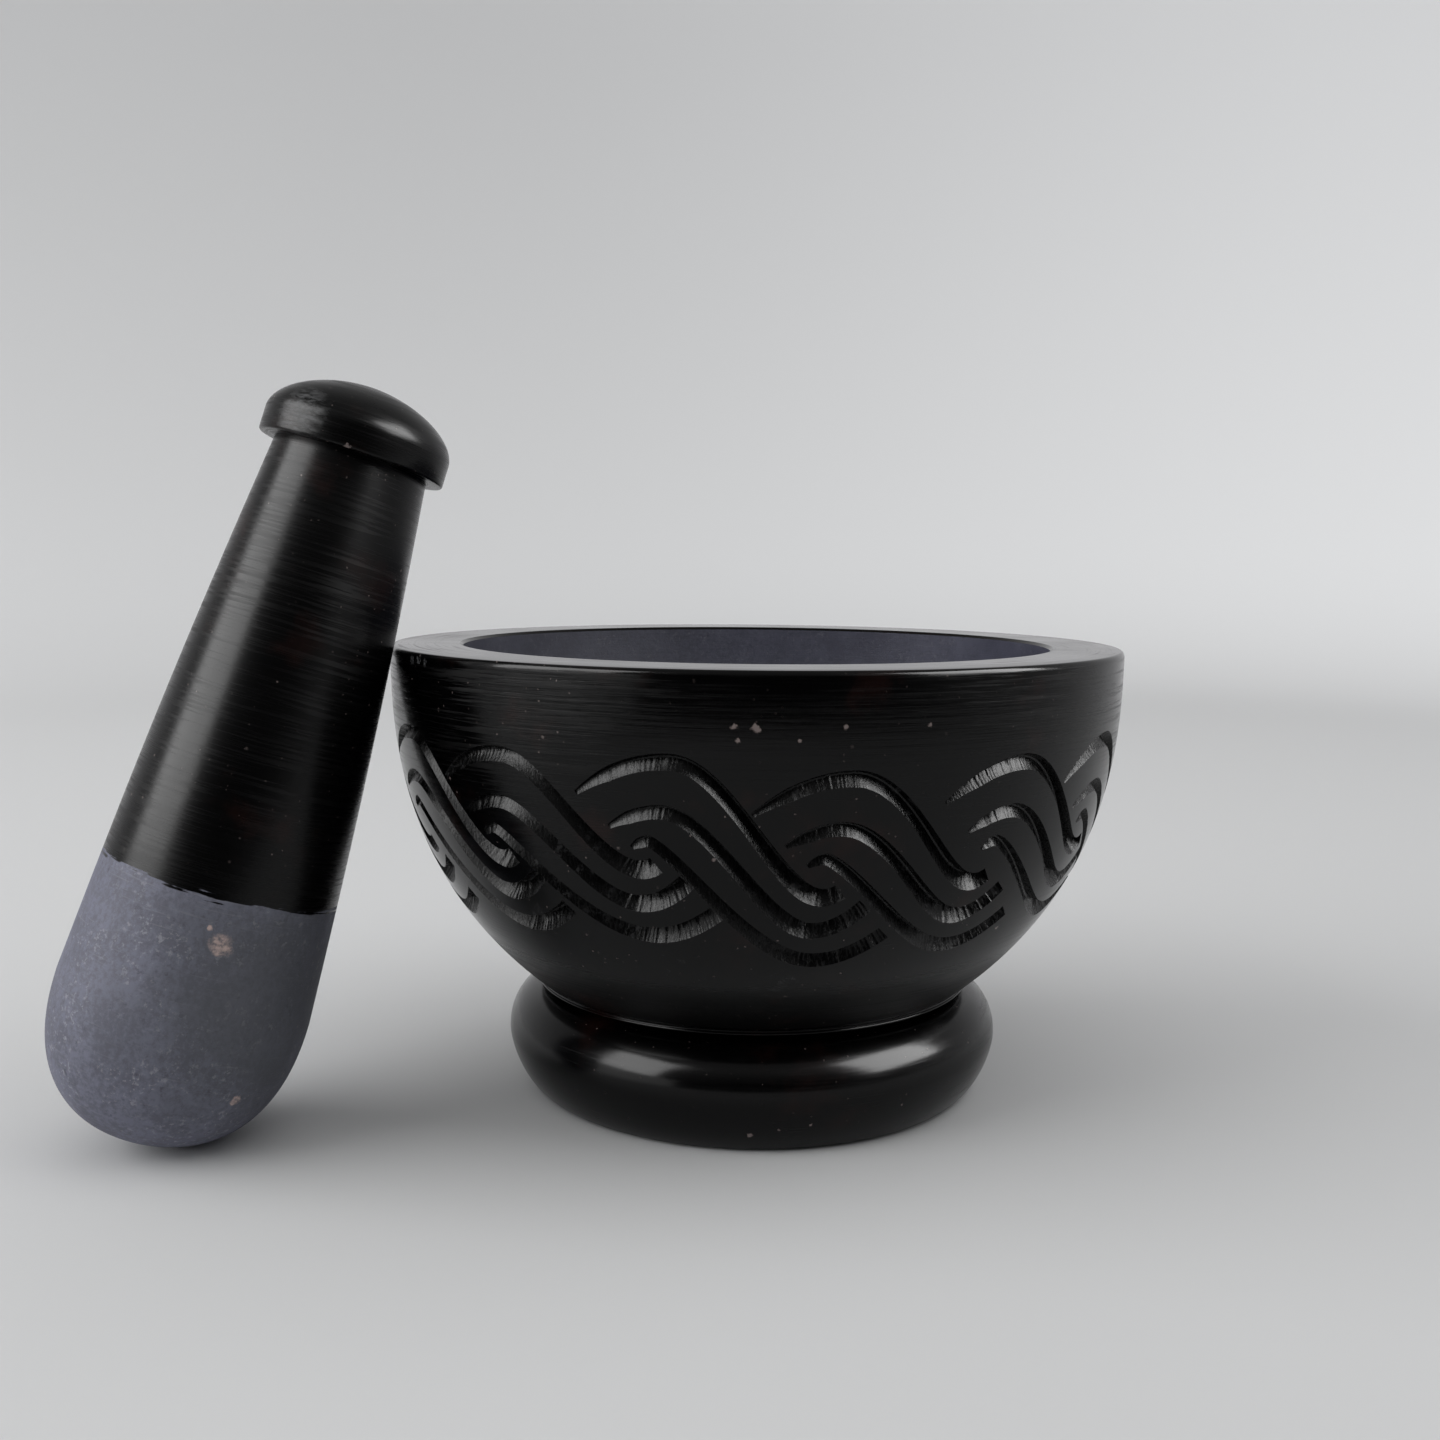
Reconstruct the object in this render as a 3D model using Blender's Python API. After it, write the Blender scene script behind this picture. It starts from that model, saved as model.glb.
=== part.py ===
"""Turned stone mortar with a carved braid band, and its pestle leaning on the rim.

Metres, +Z up.  The origin is on the mortar's axis, on the table it stands on.
"""
import math
import random

import bmesh
import bpy
import numpy as np
from mathutils import Matrix, Vector

MM = 0.001

# Mortar, outside (mm): a plump foot ring, a sharp neck, and a bowl that ends upright.
RIM_RADIUS = 51.0
HEIGHT = 62.7
RIM_FLAT_RADIUS = 50.4
RIM_EDGE_HEIGHT = 0.8
BASE_RADIUS = 30.7
FOOT_RADIUS = 35.0
FOOT_BULGE_Z = 7.7
FOOT_LOWER_ROUNDNESS = 1.52
FOOT_UPPER_ROUNDNESS = 2.15
NECK_Z = 14.4
BOWL_TOP_Z = 63.4
BOWL_POLE_Z = 2.9
BOWL_ROUNDNESS = 2.53
BOWL_FULLNESS = 1.60

# Mortar, inside (mm): a thick flat-topped wall round a deep rounded hollow.
MOUTH_RADIUS = 41.2
MOUTH_CHAMFER = 0.4
FLOOR_Z = 17.5
HOLLOW_ROUNDNESS = 2.2

# Carved band: each repeat is three nested grooves, and 15 repeats go round the bowl.
# A groove is (degrees, height in mm) at its start, crest, trough and end, then its crest width
# in mm and how early it falls (under 1 falls early).
REPEATS = 15
GROOVES = (
    ((-13.0, 47.3), (0.0, 51.8), (21.0, 37.8), (23.0, 38.4), 2.0, 1.10),
    ((-8.5, 43.6), (-1.0, 45.9), (20.0, 33.4), (27.0, 36.4), 1.8, 1.00),
    ((-5.5, 41.2), (-3.0, 42.3), (21.0, 29.2), (31.0, 32.5), 1.5, 0.74),
)
# The band was cut by eye.  On the front its crests stand at these angles, with their crest and
# trough raised by these heights (mm); the rest of the band is spaced evenly and varies as much.
FRONT_REPEATS = (
    (-150.0, 1.0, 1.2),
    (-126.5, 0.4, 2.0),
    (-101.0, 0.9, -1.0),
    (-77.2, -0.8, -0.4),
    (-51.0, 0.0, 1.1),
    (-28.0, 0.9, 0.0),
)
HAND_DRIFT = 0.8
GROOVE_START_WIDTH = 0.5
GROOVE_MIDDLE_WIDTH = 1.7
GROOVE_TROUGH_WIDTH = 2.4
GROOVE_END_WIDTH = 2.2
GROOVE_DEPTH_RATIO = 0.56
STEEP_EDGE = 0.30
VALLEY_OFFSET = 0.06
CUTTER_CLEARANCE = 0.3

# Pestle (mm): a full grinding end, a handle that tapers upwards, and a cap with an upright
# edge under its dome.
PESTLE_RADIUS = 15.8
GRINDING_END_HEIGHT = 18.6
GRINDING_END_ROUNDNESS = 2.4
HANDLE_TOP = 90.1
HANDLE_TOP_RADIUS = 9.8
HANDLE_BARREL = 0.5
CAP_RADIUS = 11.9
CAP_EDGE = 3.1
CAP_HEIGHT = 9.6
CAP_ROUNDNESS = 1.83

# The pestle stands on its grinding end and leans on the rim.
PESTLE_FOOT = (-77.27, -32.07)
PESTLE_LEAN = (0.279, 0.132)

MORTAR_SEGMENTS = 60
PESTLE_SEGMENTS = 36
GROOVE_STATIONS = 9


def clear_scene():
    for obj in list(bpy.data.objects):
        bpy.data.objects.remove(obj, do_unlink=True)


def stone(name, colour, roughness):
    material = bpy.data.materials.new(name)
    material.use_nodes = True
    shader = material.node_tree.nodes["Principled BSDF"]
    shader.inputs["Base Color"].default_value = (*colour, 1.0)
    shader.inputs["Roughness"].default_value = roughness
    shader.inputs["Metallic"].default_value = 0.0
    return material


def arc(centre, radii, start, end, roundness=2.0, steps=8):
    """Points on a superellipse arc as (radius, height), from start to end in degrees."""
    points = []
    for step in range(steps + 1):
        angle = math.radians(start + (end - start) * step / steps)
        across = math.copysign(abs(math.cos(angle)) ** (2.0 / roundness), math.cos(angle))
        up = math.copysign(abs(math.sin(angle)) ** (2.0 / roundness), math.sin(angle))
        points.append((centre[0] + radii[0] * across, centre[1] + radii[1] * up))
    return points


def bowl_radius(height):
    """Outer radius of the bowl at a height above the table (mm)."""
    depth = (BOWL_TOP_Z - height) / (BOWL_TOP_Z - BOWL_POLE_Z)
    return RIM_RADIUS * (1.0 - depth ** BOWL_ROUNDNESS) ** (1.0 / BOWL_FULLNESS)


def turned(name, profile, segments, material):
    """A closed solid turned about Z from (radius, height) points in mm."""
    bm = bmesh.new()
    verts = [bm.verts.new((radius * MM, 0.0, height * MM)) for radius, height in profile]
    edges = [bm.edges.new(pair) for pair in zip(verts, verts[1:])]
    bmesh.ops.spin(bm, geom=verts + edges, cent=(0, 0, 0), axis=(0, 0, 1),
                   angle=math.tau, steps=segments, use_merge=True)
    bmesh.ops.remove_doubles(bm, verts=bm.verts, dist=0.00001)
    bmesh.ops.recalc_face_normals(bm, faces=bm.faces)
    return finish_mesh(name, bm, material)


def finish_mesh(name, bm, material):
    mesh = bpy.data.meshes.new(name)
    bm.to_mesh(mesh)
    bm.free()
    mesh.materials.append(material)
    mesh.shade_smooth()
    mesh.set_sharp_from_angle(angle=math.radians(35))
    obj = bpy.data.objects.new(name, mesh)
    bpy.context.collection.objects.link(obj)
    return obj


def mortar_profile():
    """The mortar's half section, from the middle of its base round to the floor of its hollow."""
    profile = [(0.0, 0.0)]
    profile += arc((BASE_RADIUS, FOOT_BULGE_Z), (FOOT_RADIUS - BASE_RADIUS, FOOT_BULGE_Z),
                   -90, 0, FOOT_LOWER_ROUNDNESS, 5)
    neck_radius = bowl_radius(NECK_Z)
    profile += arc((neck_radius, FOOT_BULGE_Z), (FOOT_RADIUS - neck_radius, NECK_Z - FOOT_BULGE_Z),
                   0, 90, FOOT_UPPER_ROUNDNESS, 5)[1:]
    edge_z = HEIGHT - RIM_EDGE_HEIGHT
    bowl_rings = 12
    for ring in range(1, bowl_rings + 1):
        height = NECK_Z + (edge_z - NECK_Z) * ring / bowl_rings
        profile.append((bowl_radius(height), height))
    edge_radius = bowl_radius(edge_z)
    profile += arc((RIM_FLAT_RADIUS, edge_z), (edge_radius - RIM_FLAT_RADIUS, RIM_EDGE_HEIGHT),
                   0, 90, steps=3)[1:]
    profile.append((MOUTH_RADIUS + MOUTH_CHAMFER, HEIGHT))
    profile += arc((0.0, HEIGHT - MOUTH_CHAMFER), (MOUTH_RADIUS, HEIGHT - MOUTH_CHAMFER - FLOOR_Z),
                   0, -90, HOLLOW_ROUNDNESS, 9)
    profile[-1] = (0.0, FLOOR_Z)
    return profile


def smooth(value):
    return value * value * (3.0 - 2.0 * value)


def groove_height(groove, degrees, crest_lift, trough_lift):
    """Height of a groove's centre line at an angle from its repeat's crest."""
    start, crest, trough, end, _, early = groove
    crest_z = crest[1] + crest_lift
    trough_z = trough[1] + trough_lift
    if degrees <= crest[0]:
        along = (crest[0] - degrees) / (crest[0] - start[0])
        return crest_z + (start[1] - crest[1]) * along ** 2
    if degrees >= trough[0]:
        along = (degrees - trough[0]) / (end[0] - trough[0])
        return trough_z + (end[1] - trough[1]) * along ** 2
    along = (degrees - crest[0]) / (trough[0] - crest[0])
    return crest_z + (trough_z - crest_z) * smooth(along ** early)


def on_bowl(degrees, height):
    angle = math.radians(degrees)
    radius = bowl_radius(height)
    return Vector((radius * math.cos(angle), radius * math.sin(angle), height))


def bowl_normal(degrees, height):
    step = 0.05
    slope = (bowl_radius(height + step) - bowl_radius(height - step)) / (2.0 * step)
    angle = math.radians(degrees)
    return Vector((math.cos(angle), math.sin(angle), -slope)).normalized()


def groove_width(groove, along):
    widths = (GROOVE_START_WIDTH, groove[4], GROOVE_MIDDLE_WIDTH, GROOVE_TROUGH_WIDTH, GROOVE_END_WIDTH)
    return float(np.interp(along, (0.0, 0.3, 0.55, 0.85, 1.0), widths))


def groove_section(groove, along, centre, normal, side):
    """Three points of the V cutter: above the steep edge, in the valley, above the shallow edge."""
    width = groove_width(groove, along)
    depth = width * GROOVE_DEPTH_RATIO
    valley = centre + side * (width * VALLEY_OFFSET) - normal * depth
    steep = centre + side * (width * STEEP_EDGE)
    shallow = centre - side * (width * (1.0 - STEEP_EDGE))
    reach = CUTTER_CLEARANCE / depth
    return (steep + (steep - valley) * reach, valley, shallow + (shallow - valley) * reach)


def add_groove(bm, groove, turn, crest_lift, trough_lift):
    """Sweep one V cutter along its S-shaped line on the bowl."""
    first, last = groove[0][0], groove[3][0]
    spots = np.linspace(first, last, GROOVE_STATIONS)
    line = [(turn + spot, groove_height(groove, spot, crest_lift, trough_lift)) for spot in spots]
    centres = [on_bowl(*spot) for spot in line]
    sections = []
    for index, spot in enumerate(line):
        normal = bowl_normal(*spot)
        ahead = centres[min(index + 1, len(line) - 1)] - centres[max(index - 1, 0)]
        side = normal.cross(ahead).normalized()
        along = index / (len(line) - 1)
        points = groove_section(groove, along, centres[index], normal, side)
        sections.append([bm.verts.new(point * MM) for point in points])
    for here, there in zip(sections, sections[1:]):
        for corner in range(3):
            following = (corner + 1) % 3
            bm.faces.new((here[corner], here[following], there[corner]))
            bm.faces.new((here[following], there[following], there[corner]))
    bm.faces.new(sections[0][::-1])
    bm.faces.new(sections[-1])


def band_repeats():
    """Every repeat of the band as (degrees of its crest, crest lift, trough lift)."""
    rng = random.Random(7)
    repeats = list(FRONT_REPEATS)
    back_start = FRONT_REPEATS[-1][0]
    back_end = FRONT_REPEATS[0][0] + 360.0
    back_gaps = REPEATS - len(FRONT_REPEATS) + 1
    for index in range(1, back_gaps):
        turn = back_start + (back_end - back_start) * index / back_gaps
        turn += rng.uniform(-HAND_DRIFT, HAND_DRIFT)
        repeats.append((turn, rng.uniform(-HAND_DRIFT, HAND_DRIFT), rng.uniform(-HAND_DRIFT, HAND_DRIFT)))
    return repeats


def braid_cutter(material):
    bm = bmesh.new()
    for turn, crest_lift, trough_lift in band_repeats():
        for groove in GROOVES:
            add_groove(bm, groove, turn, crest_lift, trough_lift)
    bmesh.ops.recalc_face_normals(bm, faces=bm.faces)
    cutter = finish_mesh("braid_cutter", bm, material)
    cutter.hide_render = True
    cutter.display_type = "WIRE"
    return cutter


def build_mortar(material):
    mortar = turned("mortar", mortar_profile(), MORTAR_SEGMENTS, material)
    carving = mortar.modifiers.new("carved_band", "BOOLEAN")
    carving.operation = "DIFFERENCE"
    carving.solver = "EXACT"
    carving.use_self = True
    carving.object = braid_cutter(material)
    return mortar


def pestle_profile():
    """The pestle's half section, from its grinding tip up to the top of its cap."""
    profile = arc((0.0, GRINDING_END_HEIGHT), (PESTLE_RADIUS, GRINDING_END_HEIGHT),
                  -90, 0, GRINDING_END_ROUNDNESS, 8)
    profile[0] = (0.0, 0.0)
    handle_rings = 6
    for ring in range(1, handle_rings + 1):
        along = ring / handle_rings
        taper = PESTLE_RADIUS + (HANDLE_TOP_RADIUS - PESTLE_RADIUS) * along
        barrel = HANDLE_BARREL * math.sin(math.pi * along)
        height = GRINDING_END_HEIGHT + (HANDLE_TOP - GRINDING_END_HEIGHT) * along
        profile.append((taper + barrel, height))
    profile.append((CAP_RADIUS, HANDLE_TOP))
    profile += arc((0.0, HANDLE_TOP + CAP_EDGE), (CAP_RADIUS, CAP_HEIGHT - CAP_EDGE),
                   0, 90, CAP_ROUNDNESS, 7)
    profile[-1] = (0.0, HANDLE_TOP + CAP_HEIGHT)
    return profile


def build_pestle(material):
    """Turn the pestle upright, lean it, and set its lowest point on the table."""
    pestle = turned("pestle", pestle_profile(), PESTLE_SEGMENTS, material)
    upright = math.sqrt(1.0 - PESTLE_LEAN[0] ** 2 - PESTLE_LEAN[1] ** 2)
    lean = Vector((PESTLE_LEAN[0], PESTLE_LEAN[1], upright))
    turn = Vector((0, 0, 1)).rotation_difference(lean).to_matrix()
    lowest = min((turn @ vertex.co).z for vertex in pestle.data.vertices)
    place = Vector((PESTLE_FOOT[0] * MM, PESTLE_FOOT[1] * MM, -lowest))
    pestle.matrix_world = Matrix.Translation(place) @ turn.to_4x4()
    return pestle


def main():
    clear_scene()
    build_mortar(stone("mortar_stone", (0.022, 0.021, 0.023), 0.28))
    build_pestle(stone("pestle_stone", (0.030, 0.029, 0.033), 0.30))


main()
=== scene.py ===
"""Looks of the stone mortar and its leaning pestle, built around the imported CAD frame."""

import math
import random

import bmesh
import bpy
import numpy as np
from mathutils import Matrix, Vector

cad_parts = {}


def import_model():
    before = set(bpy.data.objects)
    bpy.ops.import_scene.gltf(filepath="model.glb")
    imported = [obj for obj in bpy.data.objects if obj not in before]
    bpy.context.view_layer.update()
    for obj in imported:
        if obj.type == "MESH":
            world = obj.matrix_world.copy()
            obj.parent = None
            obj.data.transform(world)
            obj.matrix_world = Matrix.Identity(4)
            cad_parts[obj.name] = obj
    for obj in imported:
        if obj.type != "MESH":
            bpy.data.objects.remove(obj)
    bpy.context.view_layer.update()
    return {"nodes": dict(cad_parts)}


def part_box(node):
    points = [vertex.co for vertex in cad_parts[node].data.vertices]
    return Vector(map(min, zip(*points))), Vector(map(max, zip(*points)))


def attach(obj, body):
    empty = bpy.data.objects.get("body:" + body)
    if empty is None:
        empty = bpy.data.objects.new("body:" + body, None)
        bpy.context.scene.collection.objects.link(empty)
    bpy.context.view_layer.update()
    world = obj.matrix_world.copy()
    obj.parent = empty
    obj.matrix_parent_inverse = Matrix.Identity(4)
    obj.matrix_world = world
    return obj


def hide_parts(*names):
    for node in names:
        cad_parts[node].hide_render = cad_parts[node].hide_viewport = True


MM = 0.001

# Mortar, outside (mm).  The rim's radius and the height come from the frame.
RIM_FLAT_INSET = 0.6
RIM_EDGE_HEIGHT = 0.8
BASE_RADIUS = 30.7
FOOT_RADIUS = 35.0
FOOT_BULGE_Z = 7.7
FOOT_LOWER_ROUNDNESS = 1.52
FOOT_UPPER_ROUNDNESS = 2.15
NECK_Z = 14.4
NECK_CUT_DEPTH = 1.1
NECK_CUT_HEIGHT = 0.7
BEAD_RADIUS = 0.18
BEAD_OUTSET = 1.36
BEAD_GAP = 0.16
BOWL_TOP_Z = 63.4
BOWL_POLE_Z = 2.9
BOWL_ROUNDNESS = 2.53
BOWL_FULLNESS = 1.60

# Mortar, inside (mm).
MOUTH_RADIUS = 41.2
MOUTH_CHAMFER = 0.4
FLOOR_Z = 17.5
HOLLOW_ROUNDNESS = 2.2

# Rings along each stretch of the mortar's section, faces round each turned piece, and the
# carving's material slot.
FOOT_RINGS = 14
BEAD_RINGS = 6
BOWL_RINGS = 44
RIM_EDGE_RINGS = 8
RIM_FLAT_RINGS = 3
HOLLOW_RINGS = 40
MORTAR_SEGMENTS = 192
PESTLE_SEGMENTS = 160
CARVED_SLOT = 2

# Carved band: (degrees, height in mm) at each groove's start, crest, trough and end, its crest
# width in mm, and how early it falls.  The band was cut by eye, so the front repeats have their
# own crest angle in degrees and crest and trough lift in mm.
REPEATS = 15
GROOVES = (
    ((-13.0, 47.3), (0.0, 51.8), (21.0, 37.8), (23.0, 38.4), 2.0, 1.10),
    ((-8.5, 43.6), (-1.0, 45.9), (20.0, 33.4), (27.0, 36.4), 1.8, 1.00),
    ((-5.5, 41.2), (-3.0, 42.3), (21.0, 29.2), (31.0, 32.5), 1.5, 0.74),
)
FRONT_REPEATS = (
    (-150.0, 1.0, 1.2),
    (-126.5, 0.4, 2.0),
    (-101.0, 0.9, -1.0),
    (-77.2, -0.8, -0.4),
    (-51.0, 0.0, 1.1),
    (-28.0, 0.9, 0.0),
)
HAND_DRIFT = 0.8

# Groove widths in mm; depths as shares of the width, at six places from its start to its end; and
# the cutter's section as (across, down) in shares of width and depth, from the steep upper wall.
GROOVE_START_WIDTH = 0.6
GROOVE_MIDDLE_WIDTH = 1.8
GROOVE_TROUGH_WIDTH = 2.5
GROOVE_END_WIDTH = 2.3
GROOVE_DEPTHS = (0.36, 0.40, 0.48, 0.66, 0.64, 0.58)
GROOVE_SECTION = ((0.30, 0.0), (0.08, 0.94), (-0.03, 1.0), (-0.38, 0.58), (-0.70, 0.0))
CUTTER_CLEARANCE = 0.3
LINE_SAMPLES = 120
STATION_SPACING = 0.17

# Chatter: how far the depth varies at the turns, as a share of it, and on the descents between
# them, whose middle and reach are shares of the way from crest to trough.
CHATTER = 0.07
CHATTER_RELAXED = 0.003
DESCENT_MIDDLE = 0.48
DESCENT_REACH = 0.44

# Pestle (mm).  Its foot and lean place it, and its lowest point stands on the table.
PESTLE_RADIUS = 15.79
GRINDING_END_HEIGHT = 18.6
GRINDING_END_ROUNDNESS = 2.4
HANDLE_TOP = 90.1
HANDLE_TOP_RADIUS = 9.8
HANDLE_BARREL = 0.5
CAP_RADIUS = 11.9
CAP_EDGE = 3.1
CAP_HEIGHT = 9.5
CAP_ROUNDNESS = 1.83
PESTLE_FOOT = (-77.27, -32.07)
PESTLE_LEAN = (0.279, 0.132)
RAW_END_HEIGHT = 34.2
WAX_EDGE = 0.1
GRINDING_END_RINGS = 40
HANDLE_RINGS = 56
CAP_RINGS = 34
CAP_EDGE_ROUNDING = 0.3

# Marks on the stone: places and sizes in mm.  The pestle's are in its own upright frame.
STONE_IOR = 1.28
RIM_CHIPS = (((-43.0, -27.4, 61.7), 0.5), ((-41.9, -29.1, 61.9), 0.6), ((-40.7, -30.8, 61.6), 0.4))
PALE_GRAINS = (((0.2, -50.8, 56.4), 0.55), ((-2.2, -50.7, 56.5), 0.40), ((5.0, -50.5, 55.0), 0.25),
               ((-1.8, -50.7, 54.9), 0.30), ((10.1, -49.8, 56.5), 0.30), ((19.7, -46.9, 56.5), 0.28),
               ((0.0, -33.5, 3.0), 0.36), ((7.6, -33.2, 4.4), 0.26), ((3.6, -33.6, 3.9), 0.24))
SMUDGES = (((3.4, -39.3, 24.1), 3.2), ((-9.5, -39.5, 28.0), 2.6), ((-25.5, -35.5, 32.0), 2.4))
PINK_GRAINS = (((6.2, -13.8, 28.9), 1.5), ((4.6, -14.4, 30.6), 0.4), ((12.1, -8.5, 10.2), 0.8))
# Painted shade: a darker, greyer patch on the raw end's side towards the mortar, its middle and how far
# it reaches (mm).
PAINTED_SHADE_SPOT = (15.0, -9.0, 22.0)
PAINTED_SHADE_REACH = (6.0, 24.0)
CAP_WEAR = (-4.6, -10.9, 93.0)
CAP_WEAR_SIZE = 3.6
CAP_CHIP = (2.5, -11.6, 90.2)
CAP_CHIP_SIZE = 0.4

# Heights where the mortar's finish changes (mm): turning streaks grow over the band and stop at the
# rim's flat, and the foot and the bowl's underside just above the neck are duller.
STREAKS_Z = (46.0, 56.0)
STREAKS_END_Z = (62.1, 62.5)
DULL_FOOT_Z = (12.5, 14.0)
DULL_NECK_START_Z = (15.8, 16.2)
DULL_NECK_END_Z = (19.0, 26.0)

# Brushed patches on the wall: place in mm and share of streaks, fading between two distances in mm.
BRUSHED_ROUGHNESS = 0.30
BRUSHED_PATCHES = (((-26.0, -43.0, 59.0), 0.90), ((30.0, -41.0, 58.0), 0.55))
BRUSHED_REACH = (10.0, 24.0)

# Camera (metres, radians): a phone held level with the rim, just above it.
CAMERA_PLACE = (0.0, -0.2142, 0.0758)
CAMERA_LENS_MM = 37.5
CAMERA_PITCH = 0.1132
CAMERA_YAW = 0.0231
CAMERA_ROLL = 0.0088

# Stage (metres).  The table is a ring round a pinhole.  The sweep's glow grows from the table's edge
# to a full radius, and from left to right.
TABLE_RADIUS = 0.42
TABLE_PINHOLE = 0.0005
TABLE_RINGS = 12
TABLE_BACK = 0.12
SWEEP_FLAT_RADIUS = 0.55
SWEEP_CURVE = 0.55
SWEEP_HEIGHT = 1.7
SWEEP_RINGS = 24
STAGE_SEGMENTS = 96
SWEEP_GLOW = 0.13
FULL_GLOW_RADIUS = 0.85
GLOW_SIDES = (-0.4, 0.6)
GLOW_SIDE_SHARES = (0.85, 1.9)

# Lights: name, azimuth from -Y towards +X and elevation in degrees, distance and sides in metres,
# radiance, and whether it is only seen in the object's shine or lights everything but that.
LIGHTS = (
    ("left_window", -63, 29, 1.40, (1.02, 0.84), 8.6, True),
    ("left_sill", -56, 3, 1.40, (1.15, 0.42), 1.4, True),
    ("right_window", 76, 33, 1.40, (1.00, 0.84), 15.0, True),
    ("left_softbox", -74, 28, 1.40, (1.40, 1.00), 2.95, False),
    ("right_softbox", 95, 45, 1.40, (1.50, 1.20), 0.75, False),
    ("overhead_softbox", 0, 74, 1.60, (2.20, 2.20), 0.62, False),
)
LIGHT_AIM = (0.0, 0.0, 0.03)

# Room: its level from behind the camera (0) to behind the object (1), its ceiling's level, and the
# heights (0 level, 1 overhead) between which the ceiling takes over.
ROOM_LEVELS = ((0.0, 0.03), (0.12, 0.05), (0.25, 0.22), (0.50, 0.41), (0.75, 0.60), (1.0, 0.64))
CEILING_LEVEL = 0.36
CEILING_RISE = (0.20, 0.75)


def arc(centre, radii, start, end, roundness=2.0, steps=8):
    """Points on a superellipse arc as (radius, height), from start to end in degrees."""
    points = []
    for step in range(steps + 1):
        angle = math.radians(start + (end - start) * step / steps)
        across = math.copysign(abs(math.cos(angle)) ** (2.0 / roundness), math.cos(angle))
        up = math.copysign(abs(math.sin(angle)) ** (2.0 / roundness), math.sin(angle))
        points.append((centre[0] + radii[0] * across, centre[1] + radii[1] * up))
    return points


# ---------------------------------------------------------------- turned bodies

def turned_bmesh(profile, segments, raw_from=None):
    """A bmesh turned about Z from (radius, height) points in mm, with slot 1 from a ring onwards."""
    bm = bmesh.new()
    angles = [math.tau * index / segments for index in range(segments)]
    rings = []
    for radius, height in profile:
        if radius < 1e-6:
            rings.append([bm.verts.new((0.0, 0.0, height * MM))])
        else:
            rings.append([bm.verts.new((radius * MM * math.cos(angle), radius * MM * math.sin(angle),
                                        height * MM)) for angle in angles])
    for ring, (low, high) in enumerate(zip(rings, rings[1:])):
        for index in range(segments):
            following = (index + 1) % segments
            corners = [low[index % len(low)], low[following % len(low)],
                       high[following % len(high)], high[index % len(high)]]
            face = bm.faces.new(list(dict.fromkeys(corners)))
            face.material_index = 1 if raw_from is not None and ring >= raw_from else 0
    return bm


def segment_normals(profile, corner_degrees=32.0):
    """For each profile segment, the outward (radial, up) normals at its two ends."""
    points = np.array(profile)
    along = np.diff(points, axis=0)
    flat = np.stack([along[:, 1], -along[:, 0]], -1)
    flat /= np.linalg.norm(flat, axis=1)[:, None]
    starts, ends = flat.copy(), flat.copy()
    for index in range(len(flat) - 1):
        if flat[index] @ flat[index + 1] > math.cos(math.radians(corner_degrees)):
            shared = flat[index] + flat[index + 1]
            shared /= np.linalg.norm(shared)
            ends[index] = shared
            starts[index + 1] = shared
    return points, starts, ends


def facet_loop_normals(mesh, slot, normals, crease_degrees=40.0):
    """Write into normals the carved faces' own, averaged only with neighbours in the same facet."""
    around = {}
    carved = [face for face in mesh.polygons if face.material_index == slot]
    for face in carved:
        for vertex in face.vertices:
            around.setdefault(vertex, []).append((face.normal.copy(), face.area))
    limit = math.cos(math.radians(crease_degrees))
    for face in carved:
        own = face.normal.copy()
        for loop in face.loop_indices:
            total = Vector()
            for normal, area in around[mesh.loops[loop].vertex_index]:
                if normal.dot(own) > limit:
                    total += normal * area
            normals[loop] = total.normalized()


def turned_loop_normals(mesh, profile, skipped_slot=None):
    """Exact normals of the turned surface on every loop outside one material slot."""
    points, starts, ends = segment_normals(profile)
    starts[0] = (0.0, starts[0][1])
    ends[-1] = (0.0, ends[-1][1])
    along = np.diff(points, axis=0)
    length_squared = (along ** 2).sum(1)
    vertex = np.zeros(len(mesh.vertices) * 3)
    mesh.vertices.foreach_get("co", vertex)
    vertex = vertex.reshape(-1, 3) / MM
    loop_vertex = np.zeros(len(mesh.loops), int)
    mesh.loops.foreach_get("vertex_index", loop_vertex)
    normals = np.zeros((len(mesh.loops), 3))
    for polygon in mesh.polygons:
        loops = list(polygon.loop_indices)
        if polygon.material_index == skipped_slot:
            continue
        corners = vertex[loop_vertex[loops]]
        radii = np.hypot(corners[:, 0], corners[:, 1])
        middle = np.array([radii.mean(), corners[:, 2].mean()])
        share = np.clip(((middle - points[:-1]) * along).sum(1) / length_squared, 0, 1)
        distance = np.linalg.norm(points[:-1] + along * share[:, None] - middle, axis=1)
        nearest = int(distance.argmin())
        spots = np.stack([radii, corners[:, 2]], -1) - points[nearest]
        share = np.clip(spots @ along[nearest] / length_squared[nearest], 0, 1)[:, None]
        blend = starts[nearest] * (1 - share) + ends[nearest] * share
        blend /= np.linalg.norm(blend, axis=1)[:, None]
        safe = np.where(radii > 1e-4, radii, 1.0)[:, None]
        normals[loops, :2] = corners[:, :2] / safe * blend[:, :1]
        normals[loops, 2] = blend[:, 1]
    return normals


def mesh_object(name, mesh):
    obj = bpy.data.objects.new(name, mesh)
    bpy.context.scene.collection.objects.link(obj)
    return obj


# ---------------------------------------------------------------- mortar

def bowl_radius(height, rim_radius):
    depth = (BOWL_TOP_Z - height) / (BOWL_TOP_Z - BOWL_POLE_Z)
    return rim_radius * (1.0 - depth ** BOWL_ROUNDNESS) ** (1.0 / BOWL_FULLNESS)


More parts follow.
